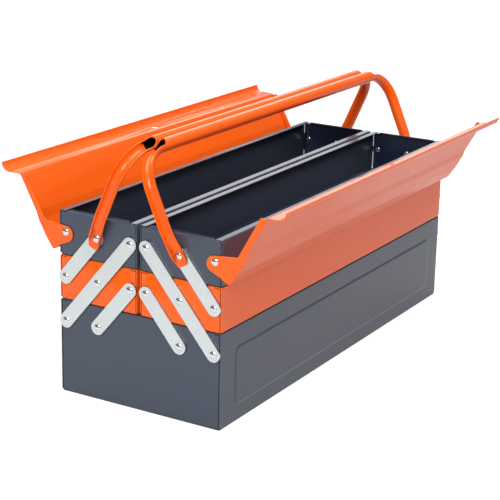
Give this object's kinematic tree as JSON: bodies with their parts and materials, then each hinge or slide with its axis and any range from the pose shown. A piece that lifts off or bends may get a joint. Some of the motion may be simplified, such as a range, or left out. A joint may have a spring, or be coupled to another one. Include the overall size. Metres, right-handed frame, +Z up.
{
  "type": "cantilever tool box",
  "caption": "Folded-steel tool box whose stacked trays swing out sideways on riveted links over a deep base, with hinged lids and folding tube handles.",
  "frame": {"origin": "centre of the underside of the base tray", "axes": "+X along the box, +Y across it towards the rear half, +Z up"},
  "size_m": [0.5516, 0.3474, 0.287],
  "materials": {
    "orange_paint": "glossy powder coat",
    "slate_paint": "glossy powder coat",
    "zinc": "bright zinc plate"
  },
  "bodies": {
    "base": {"base_tray": "slate_paint", "front_base_rivets": "zinc", "rear_base_rivets": "zinc"},
    "front_long_links": {"front_left_long_link": "zinc", "front_right_long_link": "zinc"},
    "front_lower_links": {"front_left_lower_link": "zinc", "front_right_lower_link": "zinc"},
    "front_middle_tray_body": {"front_middle_tray": "orange_paint", "front_middle_rivets": "zinc"},
    "front_top_tray_body": {"front_top_tray": "slate_paint", "front_top_rivets": "zinc", "front_lid_rivets": "zinc", "front_handle_rivets": "zinc"},
    "front_handle_body": {"front_handle": "orange_paint", "front_left_upper_link": "zinc", "front_right_upper_link": "zinc"},
    "front_lid_body": {"front_lid": "orange_paint"},
    "rear_long_links": {"rear_left_long_link": "zinc", "rear_right_long_link": "zinc"},
    "rear_lower_links": {"rear_left_lower_link": "zinc", "rear_right_lower_link": "zinc"},
    "rear_middle_tray_body": {"rear_middle_tray": "orange_paint", "rear_middle_rivets": "zinc"},
    "rear_top_tray_body": {"rear_top_tray": "slate_paint", "rear_top_rivets": "zinc", "rear_lid_rivets": "zinc", "rear_handle_rivets": "zinc"},
    "rear_handle_body": {"rear_handle": "orange_paint", "rear_left_upper_link": "zinc", "rear_right_upper_link": "zinc"},
    "rear_lid_body": {"rear_lid": "orange_paint"}
  },
  "joints": [
    {"name": "front_spread", "type": "hinge", "parent": "base", "child": "front_long_links", "pos_m": [0, -0.092, 0.082], "axis": [1, 0, 0], "range_deg": [0, 79.84]},
    {"name": "front_lower_link_swing", "type": "hinge", "parent": "base", "child": "front_lower_links", "pos_m": [0, -0.051, 0.082], "axis": [1, 0, 0], "range_deg": [0, 80]},
    {"name": "front_middle_tray_level", "type": "hinge", "parent": "front_long_links", "child": "front_middle_tray_body", "pos_m": [0, -0.051, 0.131], "axis": [1, 0, 0], "range_deg": [-80, 0]},
    {"name": "front_top_tray_level", "type": "hinge", "parent": "front_long_links", "child": "front_top_tray_body", "pos_m": [0, -0.01, 0.18], "axis": [1, 0, 0], "range_deg": [-80, 0]},
    {"name": "front_handle_swing", "type": "hinge", "parent": "front_top_tray_body", "child": "front_handle_body", "pos_m": [0, -0.051, 0.18], "axis": [1, 0, 0], "range_deg": [0, 80]},
    {"name": "front_lid_hinge", "type": "hinge", "parent": "front_top_tray_body", "child": "front_lid_body", "pos_m": [0, -0.092, 0.18], "axis": [1, 0, 0], "range_deg": [-119, 0]},
    {"name": "rear_spread", "type": "hinge", "parent": "base", "child": "rear_long_links", "pos_m": [0, 0.092, 0.082], "axis": [-1, 0, 0], "range_deg": [0, 79.84]},
    {"name": "rear_lower_link_swing", "type": "hinge", "parent": "base", "child": "rear_lower_links", "pos_m": [0, 0.051, 0.082], "axis": [-1, 0, 0], "range_deg": [0, 80]},
    {"name": "rear_middle_tray_level", "type": "hinge", "parent": "rear_long_links", "child": "rear_middle_tray_body", "pos_m": [0, 0.051, 0.131], "axis": [-1, 0, 0], "range_deg": [-80, 0]},
    {"name": "rear_top_tray_level", "type": "hinge", "parent": "rear_long_links", "child": "rear_top_tray_body", "pos_m": [0, 0.01, 0.18], "axis": [-1, 0, 0], "range_deg": [-80, 0]},
    {"name": "rear_handle_swing", "type": "hinge", "parent": "rear_top_tray_body", "child": "rear_handle_body", "pos_m": [0, 0.051, 0.18], "axis": [-1, 0, 0], "range_deg": [0, 80]},
    {"name": "rear_lid_hinge", "type": "hinge", "parent": "rear_top_tray_body", "child": "rear_lid_body", "pos_m": [0, 0.092, 0.18], "axis": [-1, 0, 0], "range_deg": [-119, 0]}
  ],
  "couplings": [
    {"joint": "front_lower_link_swing", "follows": "front_spread", "ratio": 1},
    {"joint": "front_middle_tray_level", "follows": "front_spread", "ratio": -1},
    {"joint": "front_top_tray_level", "follows": "front_spread", "ratio": -1},
    {"joint": "front_handle_swing", "follows": "front_spread", "ratio": 1},
    {"joint": "rear_lower_link_swing", "follows": "rear_spread", "ratio": 1},
    {"joint": "rear_middle_tray_level", "follows": "rear_spread", "ratio": -1},
    {"joint": "rear_top_tray_level", "follows": "rear_spread", "ratio": -1},
    {"joint": "rear_handle_swing", "follows": "rear_spread", "ratio": 1}
  ]
}
